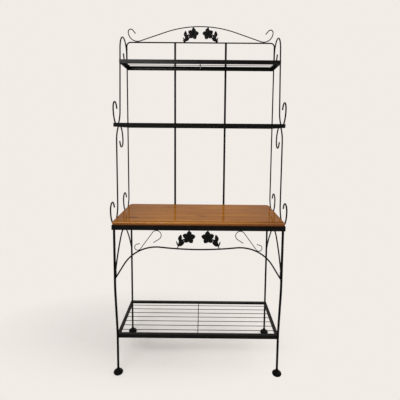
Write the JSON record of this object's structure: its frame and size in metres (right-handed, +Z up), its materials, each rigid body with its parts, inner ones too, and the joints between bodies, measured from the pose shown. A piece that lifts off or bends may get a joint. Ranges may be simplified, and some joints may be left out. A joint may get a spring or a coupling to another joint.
{
  "type": "bakers rack",
  "caption": "Wrought-iron bakers rack: wooden worktop over a low wire shelf, hutch of wire shelves above, scrolled side rods, arches and flower sprigs.",
  "frame": {"origin": "on the floor, under the middle of the rack's outline", "axes": "+Z up, +X to the right as seen from the front, +Y to the wall behind the rack"},
  "size_m": [0.9424, 0.4632, 2.011],
  "materials": {
    "iron": "black powder coat, satin",
    "wood": "brown stained wood with a glossy varnish"
  },
  "bodies": {
    "root": {"apron_arch": "iron", "apron_scroll_left": "iron", "apron_scroll_right": "iron", "apron_sprig_left": "iron", "apron_sprig_right": "iron", "back_bar_left": "iron", "back_bar_right": "iron", "crest_arch": "iron", "crest_sprig_left": "iron", "crest_sprig_right": "iron", "front_foot_left": "iron", "front_foot_right": "iron", "front_leg_left": "iron", "front_leg_right": "iron", "hoop": "iron", "lower_grid": "iron", "lower_rail_front": "iron", "lower_rail_left": "iron", "lower_rail_rear": "iron", "lower_rail_right": "iron", "lower_rod_left": "iron", "lower_rod_right": "iron", "rear_foot_left": "iron", "rear_foot_right": "iron", "rear_leg_left": "iron", "rear_leg_right": "iron", "second_grid": "iron", "second_rail_front": "iron", "second_rail_left": "iron", "second_rail_rear": "iron", "second_rail_right": "iron", "side_arch_left": "iron", "side_arch_right": "iron", "top_grid": "iron", "top_rail_front": "iron", "top_rail_left": "iron", "top_rail_rear": "iron", "top_rail_right": "iron", "upper_rod_left": "iron", "upper_rod_right": "iron", "worktop_board": "wood", "worktop_rail_front": "iron", "worktop_rail_left": "iron", "worktop_rail_rear": "iron", "worktop_rail_right": "iron"}
  },
  "joints": []
}
